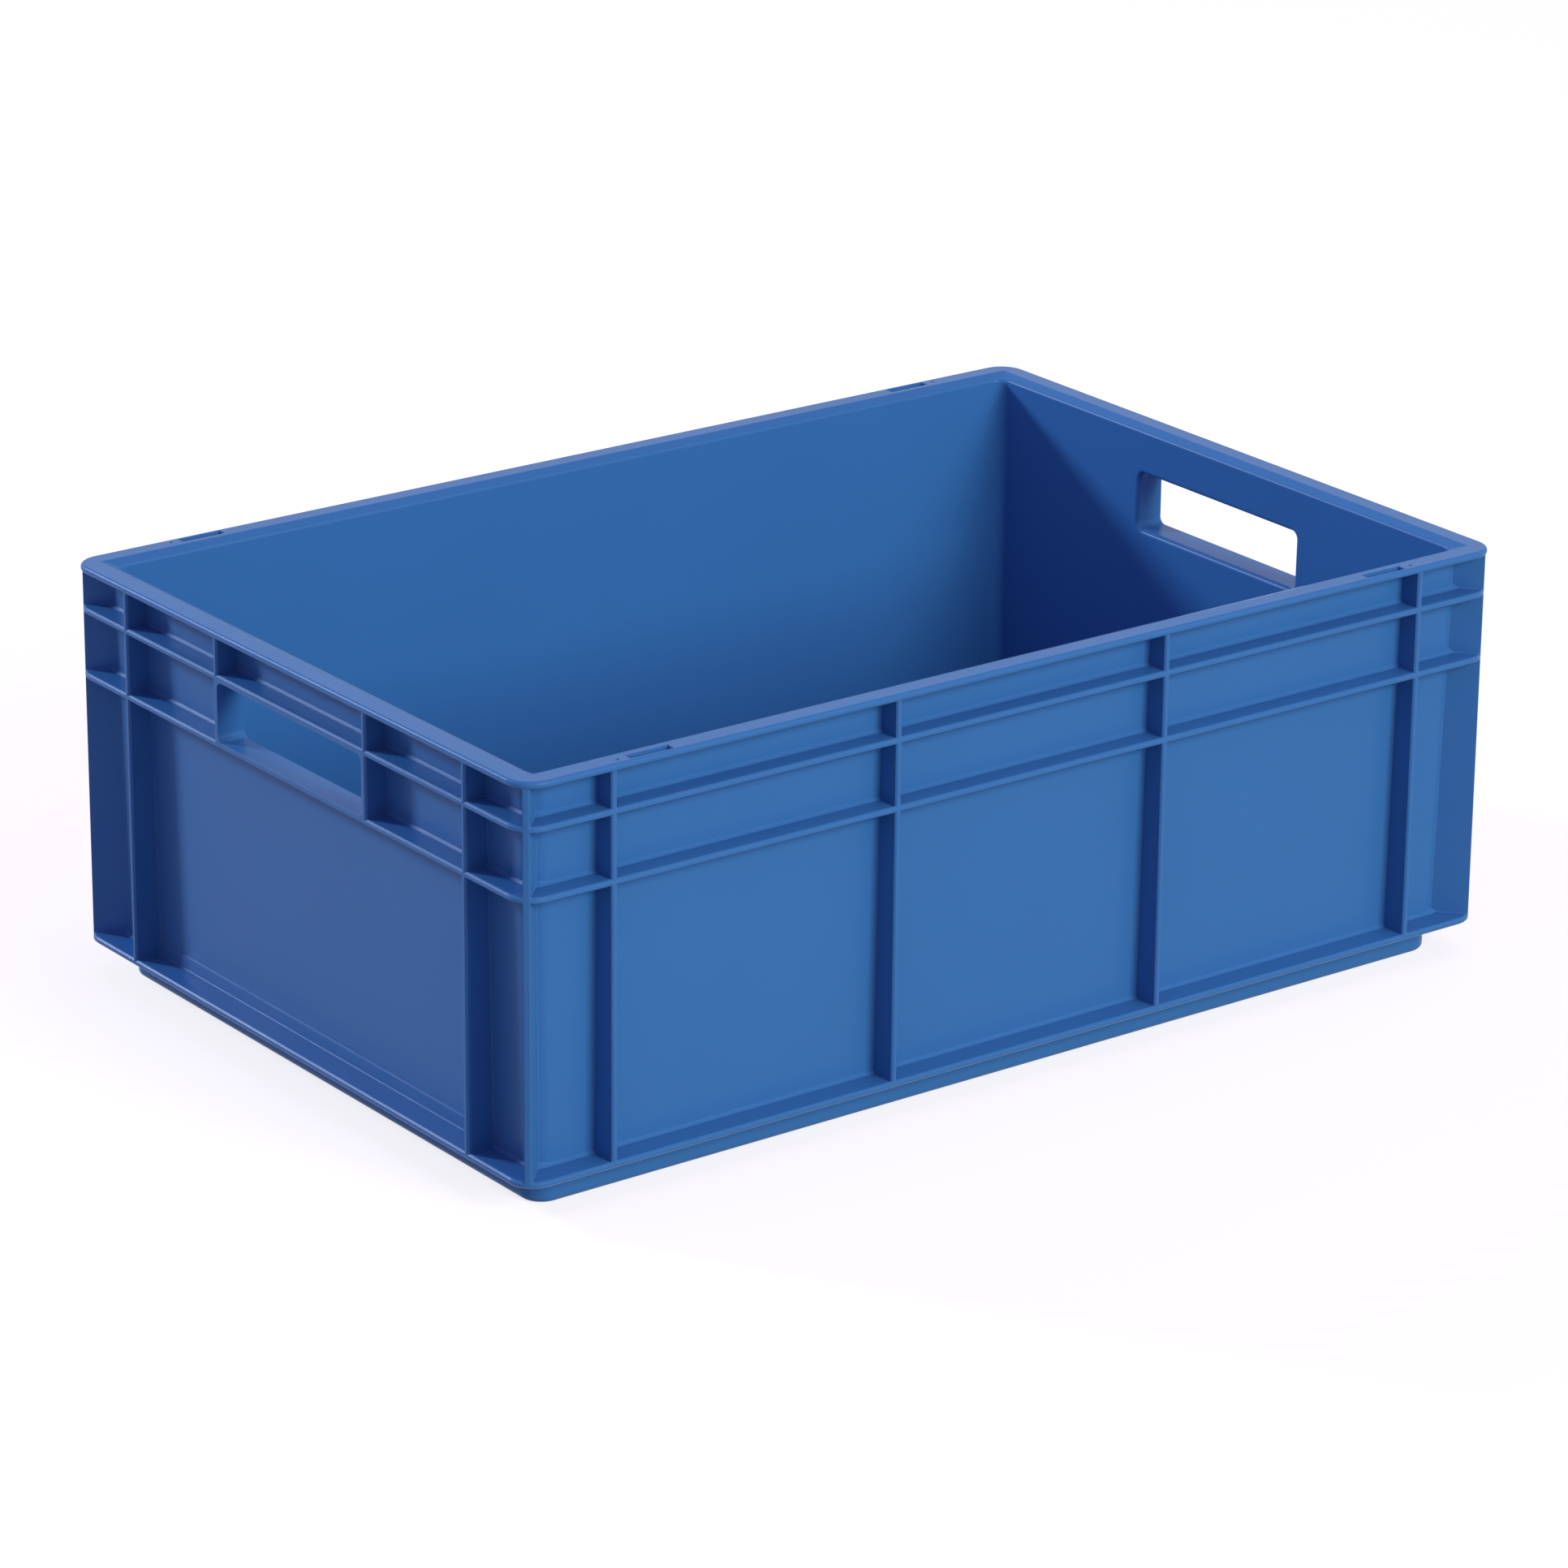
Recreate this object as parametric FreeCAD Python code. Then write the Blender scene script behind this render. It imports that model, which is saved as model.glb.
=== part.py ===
import FreeCAD, Part
import math
import os

Vector = FreeCAD.Vector

# Overall size
length = 600.0
width = 400.0
height = 220.0

# Rim around the top
rim_thickness = 3.8
rim_corner_radius = 14.0
rim_edge_radius = 1.7
rim_flat_width = 10.5
rim_lead_in_drop = 2.2
rim_mouth_radius = 1.8

# Walls of the tub
wall_setback = 12.9
wall_thickness = 3.6
wall_draft = 0.75
inner_corner_radius = 6.0

# Ribs outside the walls
rib_thickness = 3.4
rib_setback = 0.7
rib_edge_bevel = 0.9
rib_root_size = 1.2
upper_rib_drop = 23.8
lower_rib_drop = 58.5
base_flange_top = 20.8
long_side_bays = 3
long_side_end_bay = 51.75
short_side_end_bay = 50.5

# Hand holes in the short sides
handle_width = 128.0
handle_corner_radius = 4.0
handle_mouth_radius = 2.6

# Heel strip along the foot of each short wall
heel_height = 7.2
heel_thickness = 0.8

# Stacking foot and floor
stacking_clearance = 0.7
foot_corner_radius = 12.0
foot_edge_radius = 3.0
foot_wall_thickness = 2.6
floor_recess = 3.0
floor_thickness = 2.6
floor_corner_radius = 5.0
ledge_height = 3.0
floor_rib_thickness = 2.2
floor_ribs_across = 7
floor_ribs_along = 4

# Lid slots in the rim of the long sides
slot_length = 25.0
slot_width = 5.4
slot_depth = 2.6
slot_corner_radius = 0.8
slot_end_distance = 74.0
slot_edge_distance = 4.9
pin_mark_diameter = 2.0
pin_mark_depth = 0.8
pin_mark_gap = 5.5

# Levels and offsets that follow from the sizes above
draft_slope = math.tan(math.radians(wall_draft))
upper_rib_level = height - upper_rib_drop
lower_rib_level = height - lower_rib_drop
flange_level = base_flange_top - rib_thickness / 2.0
foot_height = base_flange_top - rib_thickness
foot_setback = wall_setback + foot_height * draft_slope + wall_thickness + stacking_clearance
floor_top = floor_recess + floor_thickness
rib_corner_radius = rim_corner_radius - rib_setback
outer_corner_radius = inner_corner_radius + wall_thickness
long_side_rib_spacing = (length - 2.0 * long_side_end_bay) / long_side_bays
short_side_rib_offset = width / 2.0 - short_side_end_bay
handle_bottom = lower_rib_level + rib_thickness / 2.0
handle_top = upper_rib_level - rib_thickness / 2.0
handle_rib_offset = (handle_width + rib_thickness) / 2.0


def wall_inset(level):
    """Distance from the rim's edge in to the outside of the wall at a height."""
    return wall_setback + (height - level) * draft_slope


def inside_inset(level):
    """Distance from the rim's edge in to the inside of the wall at a height."""
    return wall_inset(level) + wall_thickness


def outline(inset, radius, level):
    """Closed rounded rectangle, set in from the overall size by the inset."""
    half_x = length / 2.0 - inset
    half_y = width / 2.0 - inset
    points = []
    for quarter, (side_x, side_y) in enumerate([(1, 1), (-1, 1), (-1, -1), (1, -1)]):
        centre_x = side_x * (half_x - radius)
        centre_y = side_y * (half_y - radius)
        for step in (0.0, 0.5, 1.0):
            angle = (quarter + step) * math.pi / 2.0
            spoke = Vector(math.cos(angle), math.sin(angle), 0)
            points.append(Vector(centre_x, centre_y, level) + spoke * radius)
    edges = []
    for i in range(4):
        first, middle, last = points[3 * i:3 * i + 3]
        following = points[(3 * i + 3) % 12]
        edges.append(Part.Arc(first, middle, last).toShape())
        edges.append(Part.makeLine(last, following))
    return Part.Wire(edges)


def slab(inset, radius, bottom, thickness):
    """Flat rounded rectangle of an even thickness."""
    face = Part.Face(outline(inset, radius, bottom))
    return face.extrude(Vector(0, 0, thickness))


def level_edges(body):
    """Edges that lie flat, such as the upper and lower outline of a slab."""
    return [edge for edge in body.Edges if edge.BoundBox.ZLength < 0.001]


def upright_edges(body):
    """Edges that run most of the way up a body."""
    return [edge for edge in body.Edges if edge.BoundBox.ZLength > 0.5 * body.BoundBox.ZLength]


def tapered_block(low_inset, low_level, high_inset, high_level, radius):
    """Solid with four sloping sides and rounded upright corners."""
    low_x = length / 2.0 - low_inset
    low_y = width / 2.0 - low_inset
    high_x = length / 2.0 - high_inset
    high_y = width / 2.0 - high_inset
    body = Part.makeWedge(-low_x, low_level, -low_y, -high_y, -high_x,
                          low_x, high_level, low_y, high_y, high_x)
    body.rotate(Vector(0, 0, 0), Vector(1, 0, 0), 90)
    return body.makeFillet(radius, upright_edges(body))


def tub_outside():
    """Drafted body of the tub from the underside of the flange to the rim."""
    top = height - rim_thickness / 2.0
    return tapered_block(wall_inset(foot_height), foot_height, wall_inset(top), top, outer_corner_radius)


def rim():
    """Flat flange round the top with rounded edges."""
    body = slab(0.0, rim_corner_radius, height - rim_thickness, rim_thickness)
    return body.makeFillet(rim_edge_radius, level_edges(body))


def horizontal_ribs():
    """The two stiffening ribs below the rim and the flange at the base."""
    shapes = []
    for level in (upper_rib_level, lower_rib_level, flange_level):
        body = slab(rib_setback, rib_corner_radius, level - rib_thickness / 2.0, rib_thickness)
        shapes.append(body.makeChamfer(rib_edge_bevel, level_edges(body)))
    return shapes


def rib_roots():
    """Sloping roots that blend the tops of the ribs and the flange into the walls."""
    shapes = []
    for level in (upper_rib_level, lower_rib_level, flange_level):
        rib_top = level + rib_thickness / 2.0
        wall = wall_inset(rib_top)
        shapes.append(tapered_block(wall - 2.0 * rib_root_size, rib_top - rib_root_size,
                                    wall + rib_root_size, rib_top + 2.0 * rib_root_size, outer_corner_radius))
    return shapes


def upright_rib(position, bottom, top, across_long_side):
    """Rib standing on one pair of opposite walls, from side to side of the container."""
    reach = (width if across_long_side else length) / 2.0 - rib_setback
    corner = Vector(-rib_thickness / 2.0, -reach, bottom)
    bar = Part.makeBox(rib_thickness, 2.0 * reach, top - bottom, corner)
    bar = bar.makeChamfer(rib_edge_bevel, upright_edges(bar))
    if across_long_side:
        bar.translate(Vector(position, 0, 0))
    else:
        bar.rotate(Vector(0, 0, 0), Vector(0, 0, 1), 90)
        bar.translate(Vector(0, position, 0))
    return bar


def upright_ribs():
    """Full height ribs of all four sides and the short ribs beside the hand holes."""
    bottom = flange_level
    top = height - rim_thickness / 2.0
    shapes = []
    first = long_side_end_bay - length / 2.0
    for i in range(long_side_bays + 1):
        shapes.append(upright_rib(first + i * long_side_rib_spacing, bottom, top, True))
    for side in (-1, 1):
        shapes.append(upright_rib(side * short_side_rib_offset, bottom, top, False))
        shapes.append(upright_rib(side * handle_rib_offset, lower_rib_level, top, False))
    return shapes


def corner_webs():
    """Diagonal webs that tie the corners of the tub to the rounded corners outside."""
    bottom = flange_level
    web_height = height - rim_thickness / 2.0 - bottom
    envelope = slab(rib_setback, rib_corner_radius, bottom, web_height)
    reach = rim_corner_radius + wall_setback
    start = wall_setback + outer_corner_radius
    corner = Vector(0, -rib_thickness / 2.0, bottom)
    shapes = []
    for side_x in (-1, 1):
        for side_y in (-1, 1):
            web = Part.makeBox(2.0 * reach, rib_thickness, web_height, corner)
            web.rotate(Vector(0, 0, 0), Vector(0, 0, 1), math.degrees(math.atan2(side_y, side_x)))
            web.translate(Vector(side_x * (length / 2.0 - start), side_y * (width / 2.0 - start), 0))
            shapes.append(web.common(envelope))
    return shapes


def handle_sleeves():
    """Solid collars round the hand holes, filled out so the holes can have round corners."""
    reach = length / 2.0 - rib_setback
    depth = reach - (length / 2.0 - wall_inset(handle_bottom) - wall_thickness / 2.0)
    block_height = upper_rib_level - lower_rib_level
    shapes = []
    for side in (-1, 1):
        start = reach - depth if side > 0 else -reach
        corner = Vector(start, -handle_rib_offset, lower_rib_level)
        shapes.append(Part.makeBox(depth, 2.0 * handle_rib_offset, block_height, corner))
    return shapes


def handle_hole():
    """One long bar with rounded corners that opens both hand holes."""
    half_y = handle_width / 2.0
    corner = Vector(-length / 2.0, -half_y, handle_bottom)
    box = Part.makeBox(length, handle_width, handle_top - handle_bottom, corner)
    runs = [edge for edge in box.Edges if edge.BoundBox.XLength > 0.5 * length]
    return box.makeFillet(handle_corner_radius, runs)


def heel_strips():
    """Thin strips at the base of the short walls, between the full height ribs."""
    half_y = short_side_rib_offset
    outside = length / 2.0 - wall_inset(base_flange_top) + heel_thickness
    depth = heel_thickness + wall_thickness / 2.0
    shapes = []
    for side in (-1, 1):
        start = outside - depth if side > 0 else -outside
        corner = Vector(start, -half_y, flange_level)
        shapes.append(Part.makeBox(depth, 2.0 * half_y, rib_thickness / 2.0 + heel_height, corner))
    return shapes


def stacking_foot():
    """Raised base that drops inside the rim of the container below."""
    body = slab(foot_setback, foot_corner_radius, 0.0, foot_height + rib_thickness / 2.0)
    lower = [edge for edge in body.Edges if edge.BoundBox.ZMax < 0.001]
    return body.makeFillet(foot_edge_radius, lower)


def cavity():
    """Space inside the tub, with a sloping mouth and a ledge just above the stacking foot."""
    ledge_level = base_flange_top + ledge_height
    mouth_level = height - rim_lead_in_drop
    sides = tapered_block(inside_inset(ledge_level), ledge_level, inside_inset(height), height,
                          inner_corner_radius)
    slope = (inside_inset(mouth_level) - rim_flat_width) / rim_lead_in_drop
    low_level = mouth_level - rim_lead_in_drop
    high_level = height + rim_lead_in_drop
    mouth = tapered_block(rim_flat_width + slope * (height - low_level), low_level,
                          rim_flat_width - slope * (high_level - height), high_level, inner_corner_radius)
    upper = sides.fuse(mouth)
    lip = [edge for edge in upper.Edges if abs(edge.CenterOfMass.z - mouth_level) < rim_lead_in_drop / 2.0
           and edge.BoundBox.ZLength < rim_lead_in_drop / 2.0]
    upper = upper.makeFillet(rim_mouth_radius, lip)
    lower_height = height / 2.0 - floor_top
    lower = slab(foot_setback + foot_wall_thickness, inner_corner_radius, floor_top, lower_height)
    bottom = [edge for edge in level_edges(lower) if edge.BoundBox.ZMax < floor_top + 0.001]
    lower = lower.makeFillet(floor_corner_radius, bottom)
    return upper.fuse(lower)


def underside_recess():
    """Hollow under the floor, divided by low crossing ribs."""
    ring = foot_edge_radius + foot_wall_thickness
    hollow = slab(foot_setback + ring, foot_corner_radius - ring / 2.0, -1.0, floor_recess + 1.0)
    span_x = length - 2.0 * (foot_setback + ring)
    span_y = width - 2.0 * (foot_setback + ring)
    bars = []
    for i in range(floor_ribs_across):
        x = span_x * ((i + 1.0) / (floor_ribs_across + 1.0) - 0.5)
        corner = Vector(x - floor_rib_thickness / 2.0, -width / 2.0, -1.0)
        bars.append(Part.makeBox(floor_rib_thickness, width, floor_recess + 1.0, corner))
    for i in range(floor_ribs_along):
        y = span_y * ((i + 1.0) / (floor_ribs_along + 1.0) - 0.5)
        corner = Vector(-length / 2.0, y - floor_rib_thickness / 2.0, -1.0)
        bars.append(Part.makeBox(length, floor_rib_thickness, floor_recess + 1.0, corner))
    return hollow.cut(bars)


def lid_slots():
    """Slots and small pin marks in the rim of both long sides."""
    shapes = []
    for side_x in (-1, 1):
        for side_y in (-1, 1):
            x = side_x * (length / 2.0 - slot_end_distance)
            y = side_y * (width / 2.0 - slot_edge_distance)
            corner = Vector(x - slot_length / 2.0, y - slot_width / 2.0, height - slot_depth)
            slot = Part.makeBox(slot_length, slot_width, slot_depth + 1.0, corner)
            shapes.append(slot.makeFillet(slot_corner_radius, upright_edges(slot)))
            pin_x = x + side_x * (slot_length / 2.0 + pin_mark_gap)
            pin_centre = Vector(pin_x, y, height - pin_mark_depth)
            shapes.append(Part.makeCylinder(pin_mark_diameter / 2.0, pin_mark_depth + 1.0, pin_centre))
    return shapes


def inside_space():
    """The cavity and the hand holes together, with rounded mouths where they meet."""
    space = cavity().fuse(handle_hole()).removeSplitter()
    mouths = []
    for edge in space.Edges:
        box = edge.BoundBox
        near_hole = box.ZMin > handle_bottom - 0.5 and box.ZMax < handle_top + 0.5
        at_wall = box.XLength < 1.0 and max(abs(box.XMin), abs(box.XMax)) < length / 2.0 - wall_setback
        if near_hole and at_wall:
            mouths.append(edge)
    return space.makeFillet(handle_mouth_radius, mouths)


def container():
    """The whole container, one moulded piece."""
    body = tub_outside()
    additions = [rim(), stacking_foot()] + horizontal_ribs() + rib_roots() + upright_ribs()
    additions += corner_webs() + handle_sleeves() + heel_strips()
    body = body.fuse(additions)
    body = body.cut([inside_space(), underside_recess()] + lid_slots())
    return body.removeSplitter()


os.makedirs("parts", exist_ok=True)
shell = container()
shell.exportStep("parts/container_shell.step")
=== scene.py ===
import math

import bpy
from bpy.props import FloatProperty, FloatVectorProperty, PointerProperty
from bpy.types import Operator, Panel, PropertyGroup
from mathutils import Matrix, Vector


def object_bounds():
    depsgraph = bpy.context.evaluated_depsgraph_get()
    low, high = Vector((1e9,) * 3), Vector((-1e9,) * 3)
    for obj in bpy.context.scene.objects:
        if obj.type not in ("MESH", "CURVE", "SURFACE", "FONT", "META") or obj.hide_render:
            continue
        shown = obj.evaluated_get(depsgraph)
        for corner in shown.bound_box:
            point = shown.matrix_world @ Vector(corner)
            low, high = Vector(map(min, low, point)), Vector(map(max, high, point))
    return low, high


bl_info = {
    "name": "Stacking container",
    "version": (1, 0, 0),
    "blender": (4, 5, 0),
    "location": "3D View > Sidebar > Container",
    "description": "Moulded plastic finish and plain studio for a stacking container",
    "category": "Object",
}

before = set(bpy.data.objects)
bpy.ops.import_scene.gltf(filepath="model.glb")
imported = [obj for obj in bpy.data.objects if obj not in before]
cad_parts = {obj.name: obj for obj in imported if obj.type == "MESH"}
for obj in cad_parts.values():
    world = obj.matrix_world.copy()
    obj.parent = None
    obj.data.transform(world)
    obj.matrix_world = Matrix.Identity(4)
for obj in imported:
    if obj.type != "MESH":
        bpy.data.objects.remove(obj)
CAD_BOX = [list(corner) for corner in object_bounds()]
LOW, HIGH = Vector(CAD_BOX[0]), Vector(CAD_BOX[1])
CENTRE = (LOW + HIGH) / 2.0
SHELL = "container_shell"
WHITE = (1.0, 1.0, 1.0)

# Metres between the foot and the floor, so that no two faces share a plane
FLOOR_GAP = 0.0002
# Millimetres across the camera's sensor
SENSOR_WIDTH = 36.0

# How strongly polypropylene bends light
REFRACTION = 1.49
# Directions tried to find the rounded edges
ROUNDING_SAMPLES = 6
# How quickly the turn of the skin at a rounded edge counts as a full edge
EDGE_CONTRAST = 4.0
# Most of the lighter edge colour that a rubbed edge takes on, which is partly rubbing and partly a painted
# highlight on edges and in corners
WEAR_AND_HIGHLIGHT_SHARE = 0.8
# Spread of roughness that comes from handling haze and from the grain
HAZE_SHARE = 0.10
GRAIN_SHARE = 0.06

# Colour sockets of a Mix node, whose names are the same as those of its number sockets
MIX_FACTOR = 0
MIX_FIRST = 6
MIX_SECOND = 7
MIX_RESULT = 2


class ContainerFinish(PropertyGroup):
    """Colours and surface of the moulded plastic."""

    plastic: FloatVectorProperty(
        name="Plastic", description="Colour of the moulded plastic",
        subtype="COLOR", size=3, min=0.0, max=1.0, default=(0.040, 0.176, 0.420))
    flow: FloatVectorProperty(
        name="Flow marks", description="Colour of the faint clouds left by the flow of the plastic",
        subtype="COLOR", size=3, min=0.0, max=1.0, default=(0.044, 0.190, 0.445))
    flow_size: FloatProperty(
        name="Flow mark size", description="Width of the faint clouds left by the flow of the plastic",
        unit="LENGTH", min=0.001, default=0.09)
    # Lighter edge colour: rubbed plastic on edges, and also a painted highlight along convex edges and in
    # concave corners
    scuff_and_highlight: FloatVectorProperty(
        name="Scuffs", description="Colour of edges rubbed by handling and stacking",
        subtype="COLOR", size=3, min=0.0, max=1.0, default=(0.20, 0.34, 0.56))
    scuff_size: FloatProperty(
        name="Scuff size", description="Length of one rubbed stretch of an edge",
        unit="LENGTH", min=0.001, default=0.012)
    roughness: FloatProperty(
        name="Roughness", description="Mean roughness of the skin",
        subtype="FACTOR", min=0.0, max=1.0, default=0.31)
    haze_size: FloatProperty(
        name="Haze size", description="Width of the patches where handling has dulled the skin",
        unit="LENGTH", min=0.001, default=0.03)
    gloss: FloatProperty(
        name="Gloss", description="Level of the skin's reflections, where 0.5 is a polished plastic",
        subtype="FACTOR", min=0.0, max=1.0, default=0.11)
    edge_rounding: FloatProperty(
        name="Edge rounding", description="Radius that moulding leaves on edges and in corners",
        unit="LENGTH", min=0.0, default=0.0007)
    grain_size: FloatProperty(
        name="Grain size", description="Width of one grain of the skin",
        unit="LENGTH", min=0.0001, default=0.0012)
    grain_depth: FloatProperty(
        name="Grain depth", description="Height of the grain",
        unit="LENGTH", min=0.0, default=0.00002)
    sink_size: FloatProperty(
        name="Sink size", description="Width of the shallow waves in the panels",
        unit="LENGTH", min=0.001, default=0.07)
    sink_depth: FloatProperty(
        name="Sink depth", description="Height of the shallow waves in the panels",
        unit="LENGTH", min=0.0, default=0.00025)


class ContainerStage(PropertyGroup):
    """Floor, sky, lights and camera."""

    floor_size: FloatProperty(
        name="Floor size", description="Side of the square floor",
        unit="LENGTH", default=24.0)
    floor_colour: FloatVectorProperty(
        name="Floor colour", description="Colour of the floor",
        subtype="COLOR", size=3, min=0.0, max=1.0, default=(0.35, 0.35, 0.35))
    floor_white: FloatProperty(
        name="Floor white", description="White added to the floor where it is seen, as on a lit table",
        subtype="FACTOR", min=0.0, max=1.0, default=0.76)
    sky_level: FloatProperty(
        name="Sky level", description="Strength of the even light from all round",
        min=0.0, default=0.40)
    sky_colour: FloatVectorProperty(
        name="Sky colour", description="Tint of the even light from all round",
        subtype="COLOR", size=3, min=0.0, max=1.0, default=(1.0, 0.58, 1.0))
    backdrop_top: FloatProperty(
        name="Backdrop top", description="Height angle up to which the gloss sees a white backdrop",
        subtype="ANGLE", unit="ROTATION", default=math.radians(25.0))
    backdrop_fade: FloatProperty(
        name="Backdrop fade", description="Height angle above which the gloss sees a dark ceiling",
        subtype="ANGLE", unit="ROTATION", default=math.radians(48.0))
    front_power: FloatProperty(
        name="Front power", description="Power of the light in front of the long side",
        unit="POWER", default=300.0)
    front_size: FloatProperty(
        name="Front size", description="Side of the light in front of the long side",
        unit="LENGTH", default=2.5)
    front_place: FloatVectorProperty(
        name="Front place", description="Where the light in front of the long side hangs",
        subtype="XYZ", unit="LENGTH", size=3, default=(0.9, -6.1, 2.9))
    key_power: FloatProperty(
        name="Key power", description="Power of the light behind the left corner",
        unit="POWER", default=430.0)
    key_colour: FloatVectorProperty(
        name="Key colour", description="Colour of the light behind the left corner, a little cool",
        subtype="COLOR", size=3, min=0.0, max=1.0, default=(0.74, 0.82, 1.0))
    key_size: FloatProperty(
        name="Key size", description="Side of the light behind the left corner",
        unit="LENGTH", default=1.1)
    key_place: FloatVectorProperty(
        name="Key place", description="Where the light behind the left corner hangs",
        subtype="XYZ", unit="LENGTH", size=3, default=(-3.75, 6.4, 3.4))
    top_power: FloatProperty(
        name="Top power", description="Power of the light overhead",
        unit="POWER", default=18.0)
    top_size: FloatProperty(
        name="Top size", description="Side of the light overhead",
        unit="LENGTH", default=2.0)
    top_place: FloatVectorProperty(
        name="Top place", description="Where the light overhead hangs",
        subtype="XYZ", unit="LENGTH", size=3, default=(0.9, -0.6, 4.0))
    camera_place: FloatVectorProperty(
        name="Camera place", description="Where the camera stands",
        subtype="XYZ", unit="LENGTH", size=3, default=(-1.834, -2.4413, 1.2307))
    camera_turn: FloatVectorProperty(
        name="Camera turn", description="Tilt, roll and heading of the camera",
        subtype="EULER", unit="ROTATION", size=3,
        default=(math.radians(69.618), math.radians(-0.475), math.radians(-36.714)))
    camera_lens: FloatProperty(
        name="Lens", description="Focal length in millimetres, on a sensor 36 mm wide",
        unit="CAMERA", min=1.0, default=146.44)


def fresh_tree(owner):
    """Empty node tree of a new material or world."""
    owner.use_nodes = True
    owner.node_tree.nodes.clear()
    return owner.node_tree


def add_node(tree, kind, inputs=None, **settings):
    """New node with its settings, each input set to a value or linked to a socket."""
    node = tree.nodes.new(kind)
    for key, value in settings.items():
        setattr(node, key, value)
    for key, value in (inputs or {}).items():
        if isinstance(value, bpy.types.NodeSocket):
            tree.links.new(value, node.inputs[key])
        else:
            node.inputs[key].default_value = value
    return node


def opaque(colour):
    """Colour with the fourth value that a colour socket asks for."""
    return (*colour, 1.0)


def colour_mix(tree, factor, first, second):
    """Socket with a blend of two colours."""
    inputs = {MIX_FACTOR: factor, MIX_FIRST: first, MIX_SECOND: second}
    return add_node(tree, "ShaderNodeMix", inputs, data_type="RGBA").outputs[MIX_RESULT]


def calculate(tree, operation, *values, clamp=False):
    """Socket with the result of one calculation."""
    inputs = dict(enumerate(values))
    return add_node(tree, "ShaderNodeMath", inputs, operation=operation, use_clamp=clamp).outputs[0]


def noise(tree, place, size, detail, roughness=0.5):
    """Socket with soft noise whose clouds are about the given size."""
    inputs = {"Vector": place, "Scale": 1.0 / size, "Detail": detail, "Roughness": roughness}
    return add_node(tree, "ShaderNodeTexNoise", inputs).outputs["Fac"]


def moulded_plastic(finish):
    """Satin polypropylene with faint flow clouds, fine grain, soft edges, and edges and corners lightened
    in patches, partly as rubbed plastic and partly as a painted highlight.
    """
    material = bpy.data.materials.new("moulded_plastic")
    tree = fresh_tree(material)
    place = add_node(tree, "ShaderNodeTexCoord").outputs["Object"]

    # Faint flow clouds in the body colour
    clouds = noise(tree, place, finish.flow_size, detail=3.0)
    body = colour_mix(tree, clouds, opaque(finish.plastic), opaque(finish.flow))

    # Edges, convex and concave, are where the rounded skin turns away from the face; they are lightened in
    # patches, as rubbed plastic and as a painted highlight
    rounded = add_node(tree, "ShaderNodeBevel", {"Radius": finish.edge_rounding}, samples=ROUNDING_SAMPLES)
    facing = add_node(tree, "ShaderNodeNewGeometry").outputs["Normal"]
    pair = {0: rounded.outputs[0], 1: facing}
    along = add_node(tree, "ShaderNodeVectorMath", pair, operation="DOT_PRODUCT").outputs["Value"]
    turn = calculate(tree, "SUBTRACT", 1.0, along)
    edge = calculate(tree, "MULTIPLY", turn, EDGE_CONTRAST, clamp=True)
    patches = noise(tree, place, finish.scuff_size, detail=4.0, roughness=0.65)
    wear_and_highlight = calculate(tree, "MULTIPLY", patches, WEAR_AND_HIGHLIGHT_SHARE)
    rubbed = calculate(tree, "MULTIPLY", edge, wear_and_highlight, clamp=True)
    # Painted highlight and rubbed plastic: the lighter edge colour laid on edges and in corners
    colour = colour_mix(tree, rubbed, body, opaque(finish.scuff_and_highlight))

    # Both noises have a mean of a half, so half of their shares comes off the set roughness
    grain = noise(tree, place, finish.grain_size, detail=3.0, roughness=0.6)
    haze = noise(tree, place, finish.haze_size, detail=3.0)
    dulled = calculate(tree, "MULTIPLY", haze, HAZE_SHARE)
    grained = calculate(tree, "MULTIPLY", grain, GRAIN_SHARE)
    spread = calculate(tree, "ADD", dulled, grained)
    roughness = calculate(tree, "ADD", spread, finish.roughness - (HAZE_SHARE + GRAIN_SHARE) / 2.0)

    # Shallow waves first, then the grain on top of them
    sinks = noise(tree, place, finish.sink_size, detail=1.0)
    waves = add_node(tree, "ShaderNodeBump", {
        "Height": sinks, "Distance": finish.sink_depth, "Strength": 1.0, "Normal": rounded.outputs[0]})
    skin = add_node(tree, "ShaderNodeBump", {
        "Height": grain, "Distance": finish.grain_depth, "Strength": 1.0, "Normal": waves.outputs[0]})

    shader = add_node(tree, "ShaderNodeBsdfPrincipled", {
        "Base Color": colour, "Roughness": roughness, "Normal": skin.outputs[0], "IOR": REFRACTION,
        "Specular IOR Level": finish.gloss})
    add_node(tree, "ShaderNodeOutputMaterial", {"Surface": shader.outputs[0]})
    return material


class CONTAINER_OT_finish_shell(Operator):
    """Give the moulded shell its plastic and its soft edges"""

    bl_idname = "container.finish_shell"
    bl_label = "Finish shell"

    def execute(self, context):
        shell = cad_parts.get(SHELL)
        if shell is None:
            raise RuntimeError("the packed model has no node named " + SHELL)
        material = moulded_plastic(context.scene.container_finish)
        shell.data.materials.clear()
        shell.data.materials.append(material)
        return {"FINISHED"}


def seen_directly(tree):
    """Socket that is 1 for the camera's rays and for those that a gloss or a clear body sends on."""
    path = add_node(tree, "ShaderNodeLightPath").outputs
    mirrored = calculate(tree, "MAXIMUM", path["Is Glossy Ray"], path["Is Transmission Ray"])
    return calculate(tree, "MAXIMUM", path["Is Camera Ray"], mirrored)


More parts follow.
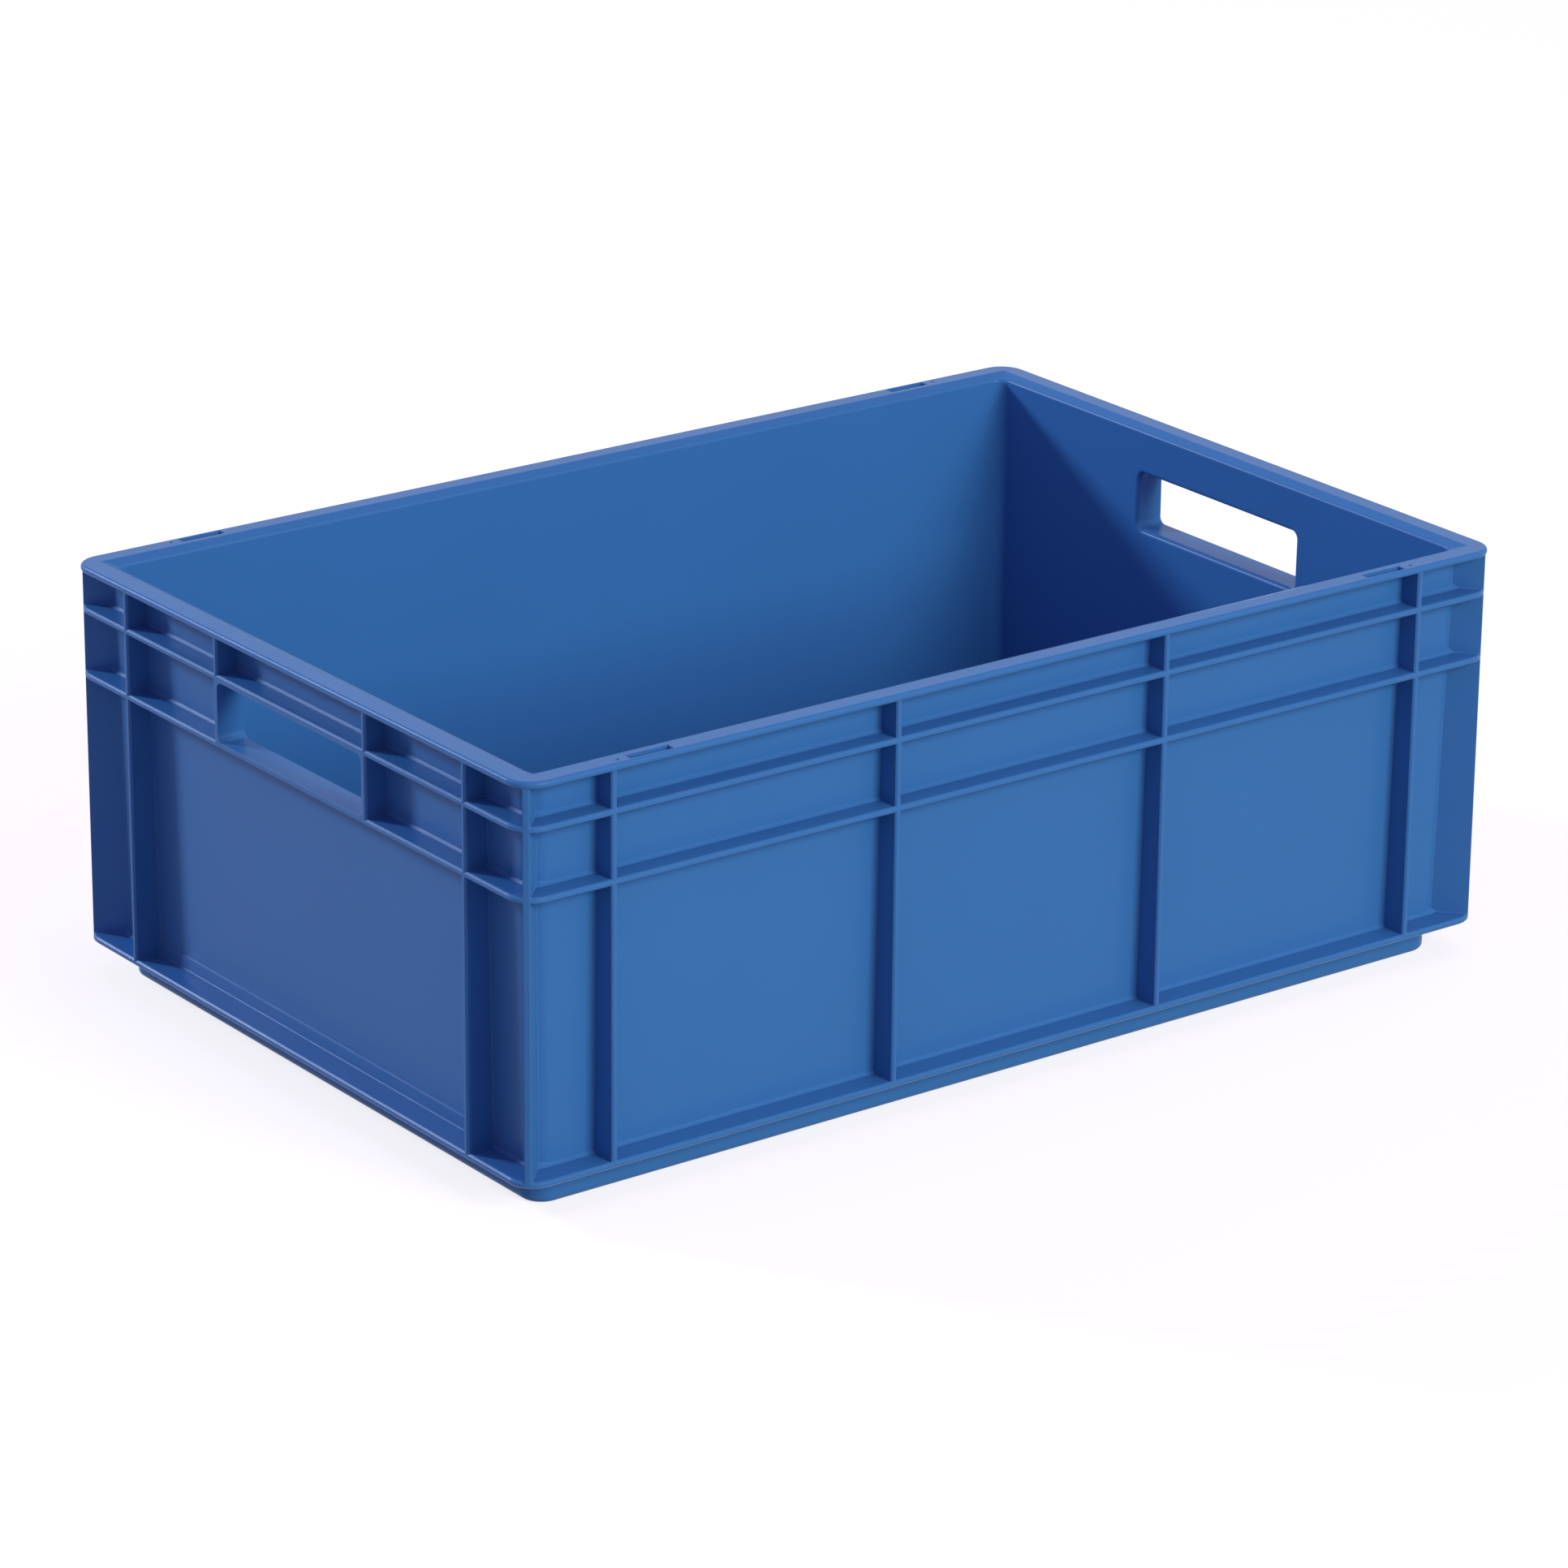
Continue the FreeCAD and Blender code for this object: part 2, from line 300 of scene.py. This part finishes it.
def floor_material(stage):
    """Matt floor that looks near white where it is lit and keeps the object's shadow."""
    material = bpy.data.materials.new("studio_floor")
    tree = fresh_tree(material)
    matt = add_node(tree, "ShaderNodeBsdfDiffuse", {"Color": opaque(stage.floor_colour)})
    white = calculate(tree, "MULTIPLY", seen_directly(tree), stage.floor_white)
    glow = add_node(tree, "ShaderNodeEmission", {"Color": opaque(WHITE), "Strength": white})
    both = add_node(tree, "ShaderNodeAddShader", {0: matt.outputs[0], 1: glow.outputs[0]})
    add_node(tree, "ShaderNodeOutputMaterial", {"Surface": both.outputs[0]})
    return material


def place_object(name, data):
    """New object with the given data, linked to the scene."""
    item = bpy.data.objects.new(name, data)
    bpy.context.scene.collection.objects.link(item)
    return item


def add_floor(stage):
    """Flat square floor just under the object."""
    half = stage.floor_size / 2.0
    level = LOW.z - FLOOR_GAP
    corners = [(-half, -half, level), (half, -half, level), (half, half, level), (-half, half, level)]
    mesh = bpy.data.meshes.new("studio_floor")
    mesh.from_pydata(corners, [], [(0, 1, 2, 3)])
    mesh.materials.append(floor_material(stage))
    floor = place_object("studio_floor", mesh)


def add_light(name, place, size, power, colour=WHITE):
    """Square area light aimed at the middle of the object."""
    data = bpy.data.lights.new(name, "AREA")
    data.shape = "SQUARE"
    data.size = size
    data.energy = power
    data.color = colour
    light = place_object(name, data)
    light.location = place
    light.rotation_euler = (CENTRE - Vector(place)).to_track_quat("-Z", "Y").to_euler()


def add_sky(stage):
    """Even light from all round.

    The camera sees white, and the gloss sees a white backdrop that fades into a dark ceiling.
    """
    world = bpy.data.worlds.new("studio_sky")
    tree = fresh_tree(world)
    direction = add_node(tree, "ShaderNodeTexCoord").outputs["Generated"]
    rise = add_node(tree, "ShaderNodeSeparateXYZ", {0: direction}).outputs["Z"]
    backdrop = add_node(tree, "ShaderNodeMapRange", {
        "Value": rise, "From Min": math.sin(stage.backdrop_top), "From Max": math.sin(stage.backdrop_fade),
        "To Min": 1.0, "To Max": 0.0}, interpolation_type="SMOOTHSTEP")
    camera = add_node(tree, "ShaderNodeLightPath").outputs["Is Camera Ray"]
    level = calculate(tree, "MAXIMUM", backdrop.outputs[0], camera)
    seen = add_node(tree, "ShaderNodeBackground", {"Color": opaque(WHITE), "Strength": level})
    unseen = add_node(tree, "ShaderNodeBackground", {
        "Color": opaque(stage.sky_colour), "Strength": stage.sky_level})
    mix = add_node(tree, "ShaderNodeMixShader", {
        0: seen_directly(tree), 1: unseen.outputs[0], 2: seen.outputs[0]})
    add_node(tree, "ShaderNodeOutputWorld", {"Surface": mix.outputs[0]})
    bpy.context.scene.world = world


def add_camera(stage):
    """Camera at the place and turn of the picture."""
    data = bpy.data.cameras.new("studio_camera")
    data.sensor_width = SENSOR_WIDTH
    data.lens = stage.camera_lens
    camera = place_object("studio_camera", data)
    camera.location = stage.camera_place
    camera.rotation_euler = stage.camera_turn
    bpy.context.scene.camera = camera


class CONTAINER_OT_set_stage(Operator):
    """Build the floor, the sky, the lights and the camera"""

    bl_idname = "container.set_stage"
    bl_label = "Set stage"

    def execute(self, context):
        stage = context.scene.container_stage
        add_floor(stage)
        add_sky(stage)
        add_light("front_light", stage.front_place, stage.front_size, stage.front_power)
        add_light("key_light", stage.key_place, stage.key_size, stage.key_power, stage.key_colour)
        add_light("top_light", stage.top_place, stage.top_size, stage.top_power)
        add_camera(stage)
        context.scene.view_settings.view_transform = "Standard"
        return {"FINISHED"}


class CONTAINER_PT_panel(Panel):
    """Sidebar panel with the container's finish and stage"""

    bl_label = "Stacking container"
    bl_space_type = "VIEW_3D"
    bl_region_type = "UI"
    bl_category = "Container"

    def draw(self, context):
        groups = (
            ("container_finish", CONTAINER_OT_finish_shell),
            ("container_stage", CONTAINER_OT_set_stage),
        )
        for name, operator in groups:
            box = self.layout.box()
            group = getattr(context.scene, name)
            for key in group.__annotations__:
                box.prop(group, key)
            box.operator(operator.bl_idname)


CLASSES = (
    ContainerFinish,
    ContainerStage,
    CONTAINER_OT_finish_shell,
    CONTAINER_OT_set_stage,
    CONTAINER_PT_panel,
)


def register():
    """Add the classes, and the settings that a scene holds."""
    for item in CLASSES:
        bpy.utils.register_class(item)
    bpy.types.Scene.container_finish = PointerProperty(type=ContainerFinish)
    bpy.types.Scene.container_stage = PointerProperty(type=ContainerStage)


def unregister():
    """Take the settings and the classes out again."""
    del bpy.types.Scene.container_stage
    del bpy.types.Scene.container_finish
    for item in reversed(CLASSES):
        bpy.utils.unregister_class(item)


def main():
    """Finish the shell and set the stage."""
    register()
    bpy.ops.container.finish_shell()
    bpy.ops.container.set_stage()


if __name__ == "__main__":
    main()
